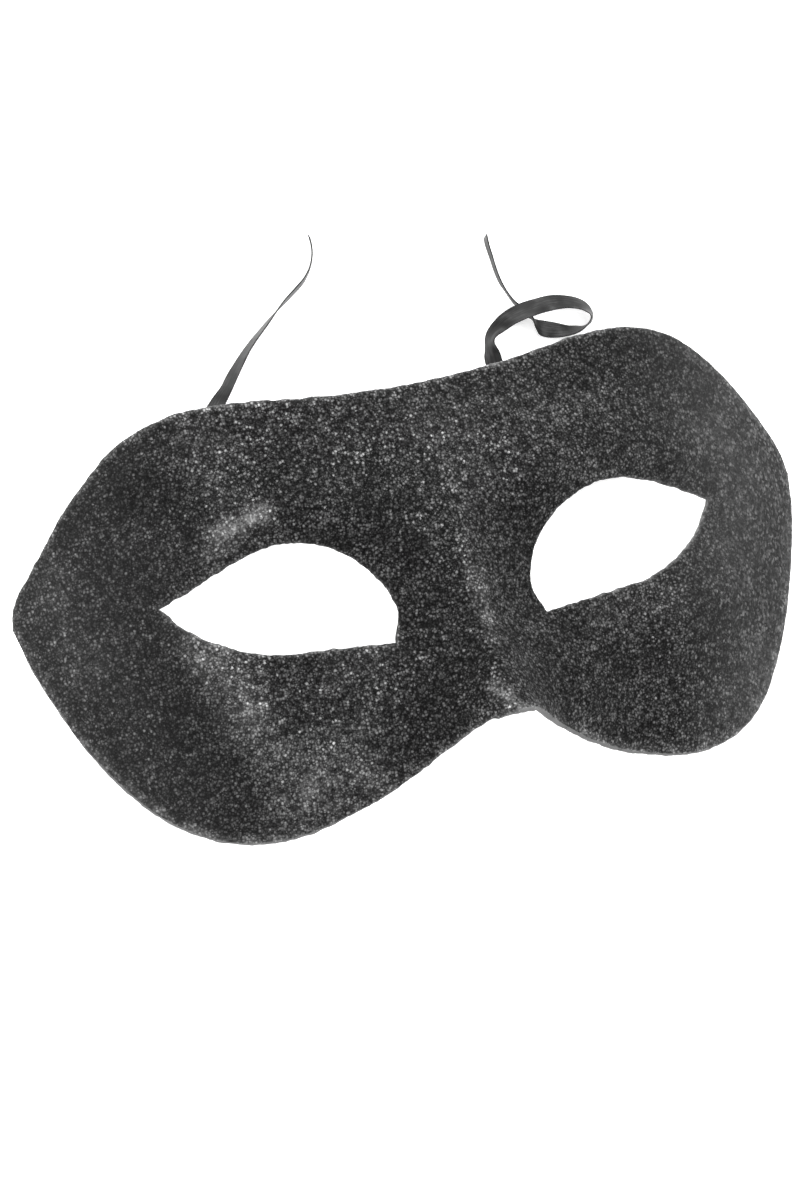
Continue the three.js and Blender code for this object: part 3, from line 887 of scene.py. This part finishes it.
def shell_grid(side):
    """Points, faces and coat of one half: front, back, and the rounded rims between them."""
    rim, rim_out, seam, eye, eye_out = half_plan()
    outer = np.vstack([rim - RIM_ROUND * rim_out, seam])
    inner = eye - RIM_ROUND * eye_out
    around = len(outer)
    layers, coats, index = [], [], {}

    def add(key, plan, depth, coat, lift=0):
        x, y = plan.T
        points = np.column_stack([x, y, face_height(x, y)]) - depth * face_normal(x, y) + lift
        index[key] = sum(len(layer) for layer in layers)
        layers.append(points)
        coats.append(np.broadcast_to(coat, len(plan)))

    for name, rings, depth, coat in (("front", FRONT_RINGS, 0, 1), ("back", BACK_RINGS, WALL, 0)):
        for ring in range(rings + 1):
            add((name, ring), inner + (outer - inner) * (ring / rings), depth, coat)
    for name, plan, out in (("rim", outer[: len(rim)], rim_out), ("eye", inner, eye_out)):
        bulge = np.array([RIM_BULGE + ragged(side * x, y) for x, y in plan])[:, None]
        way = edge_slope(plan, out) * bulge
        reach = coat_reach(name, side, plan)
        for step in range(1, RIM_STEPS + 1):
            part = step / (RIM_STEPS + 1)
            depth = WALL / 2 * (1 - math.cos(math.pi * part))
            coat = 1 - (1 - OVERSPRAY) * smooth_step(0, reach, part)
            coat = coat - OVERSPRAY * smooth_step(*OVERSPRAY_ENDS, part)
            add((name, step), plan, depth, coat, way * math.sin(math.pi * part))
    faces = []

    def strip(first, second, count, closed):
        for i in range(count if closed else count - 1):
            k = (i + 1) % count
            face = (index[first] + i, index[second] + i, index[second] + k, index[first] + k)
            faces.append(face if side > 0 else face[::-1])

    for ring in range(FRONT_RINGS):
        strip(("front", ring), ("front", ring + 1), around, True)
    for ring in range(BACK_RINGS):
        strip(("back", ring + 1), ("back", ring), around, True)
    rim_chain = [("rim", step) for step in range(1, RIM_STEPS + 1)]
    rim_chain = [("front", FRONT_RINGS)] + rim_chain + [("back", BACK_RINGS)]
    for first, second in zip(rim_chain, rim_chain[1:]):
        strip(first, second, len(rim), False)
    eye_chain = [("eye", step) for step in range(1, RIM_STEPS + 1)]
    eye_chain = [("front", 0)] + eye_chain + [("back", 0)]
    for first, second in zip(eye_chain, eye_chain[1:]):
        strip(second, first, around, True)
    return np.vstack(layers) * (side, 1, 1), faces, np.concatenate(coats)


def whole_shell():
    """Both halves of the shell, as in the front view and in millimetres: points, faces and coat."""
    right, right_faces, right_coat = shell_grid(1)
    left, left_faces, left_coat = shell_grid(-1)
    faces = right_faces + [tuple(i + len(right) for i in face) for face in left_faces]
    return np.vstack([right, left]), faces, np.r_[right_coat, left_coat]


def lying(points):
    """Mask points laid down on the side rims over the origin, in metres, and the shift that this takes."""
    laid = tilted(*points.T).T * MM
    low, high = laid.min(axis=0), laid.max(axis=0)
    cad_low, cad_high = (np.array(corner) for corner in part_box("mask_shell"))
    shift = np.array([0, (cad_low[1] + cad_high[1] - low[1] - high[1]) / 2, -low[2] - RIM_TRIM])
    return laid + shift, shift


def grain(point, coat):
    """How far the surface stands out of or falls below the smooth face, in millimetres."""
    height = UNEVEN[0] * noise.noise(point * UNEVEN[1])
    for size, often in GRAIN:
        height += coat * size * noise.noise(point * often)
    return height


def painted_light_gain(x, y):
    """How brightly the coat is painted: 1 is usual, more for painted highlights along the edges and streaks,
    less for painted shade.
    """
    painted_light = np.ones(len(x))
    for line, spread, gain in PAINTED_STREAKS:
        painted_light = painted_light + gain * near_line(x, y, line, spread)
    edge_gain = np.zeros(len(x))
    for edge, spread, gain in EDGE_HIGHLIGHT:
        line = smooth_line(edge, EDGE_HIGHLIGHT_STEPS)
        edge_gain = np.maximum(edge_gain, gain * near_line(np.abs(x), y, line, spread))
    return painted_light + edge_gain


def side_sheen(x):
    """Share of painted sheen over the flakes, from none in the middle to its most at each temple."""
    dust = np.zeros(len(x))
    for side, (start, full, most) in SIDE_SHEEN.items():
        dust = dust + most * smooth_step(start, full, side * x)
    return dust


def roughen(piece):
    """Join the two halves, give the surface its grain, and press the resting lips flat on the floor."""
    mesh = bmesh.new()
    mesh.from_mesh(piece.data)
    bmesh.ops.remove_doubles(mesh, verts=mesh.verts, dist=WELD)
    mesh.normal_update()
    coat = mesh.verts.layers.float["coat"]
    for vertex in mesh.verts:
        away = grain(vertex.co / MM, vertex[coat]) * MM
        place = vertex.co + vertex.normal * away
        vertex.co = (place.x, place.y, max(place.z, 0))
    mesh.to_mesh(piece.data)
    mesh.free()


def make_shell(points, laid, faces, coat, material):
    x, y = points[:, 0], points[:, 1]
    piece = mesh_object("mask", laid, faces, material)
    point_values(piece, "coat", coat)
    # Point values for the painted highlights and shade, and for the painted sheen towards the temples
    point_values(piece, "painted_light", painted_light_gain(x, y))
    point_values(piece, "painted_sheen", side_sheen(x))
    roughen(piece)
    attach(piece, "root")
    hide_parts("mask_shell")


# Stage


def make_floor(material):
    corners = [(x * FLOOR_HALF, y * FLOOR_HALF, 0) for x, y in ((-1, -1), (1, -1), (1, 1), (-1, 1))]
    mesh_object("floor", corners, [(0, 1, 2, 3)], material)


def make_lights():
    for name, (place, target, size, power) in LIGHTS.items():
        data = bpy.data.lights.new(name, "AREA")
        data.shape = "DISK"
        data.size = size
        data.energy = power
        light = bpy.data.objects.new(name, data)
        light.location = place
        light.rotation_euler = (Vector(place) - Vector(target)).to_track_quat("Z", "Y").to_euler()
        bpy.context.scene.collection.objects.link(light)
    world = bpy.data.worlds.new("studio")
    world.use_nodes = True
    background = world.node_tree.nodes["Background"]
    background.inputs["Color"].default_value = (1, 1, 1, 1)
    background.inputs["Strength"].default_value = WORLD_STRENGTH
    bpy.context.scene.world = world
    bpy.context.scene.view_settings.view_transform = "Standard"


shell_points, shell_faces, shell_coat = whole_shell()
shell_laid, shell_shift = lying(shell_points)
make_camera(shell_shift)
satin = satin_material()
make_ribbon("left", LEFT_ROOT, LEFT_HANK, LEFT_CROSSING, LEFT_TAIL, satin)
make_ribbon("right", RIGHT_ROOT, RIGHT_HANK, RIGHT_CROSSING, RIGHT_TAIL, satin)
make_shell(shell_points, shell_laid, shell_faces, shell_coat, glitter_material())
make_floor(floor_material())
make_lights()
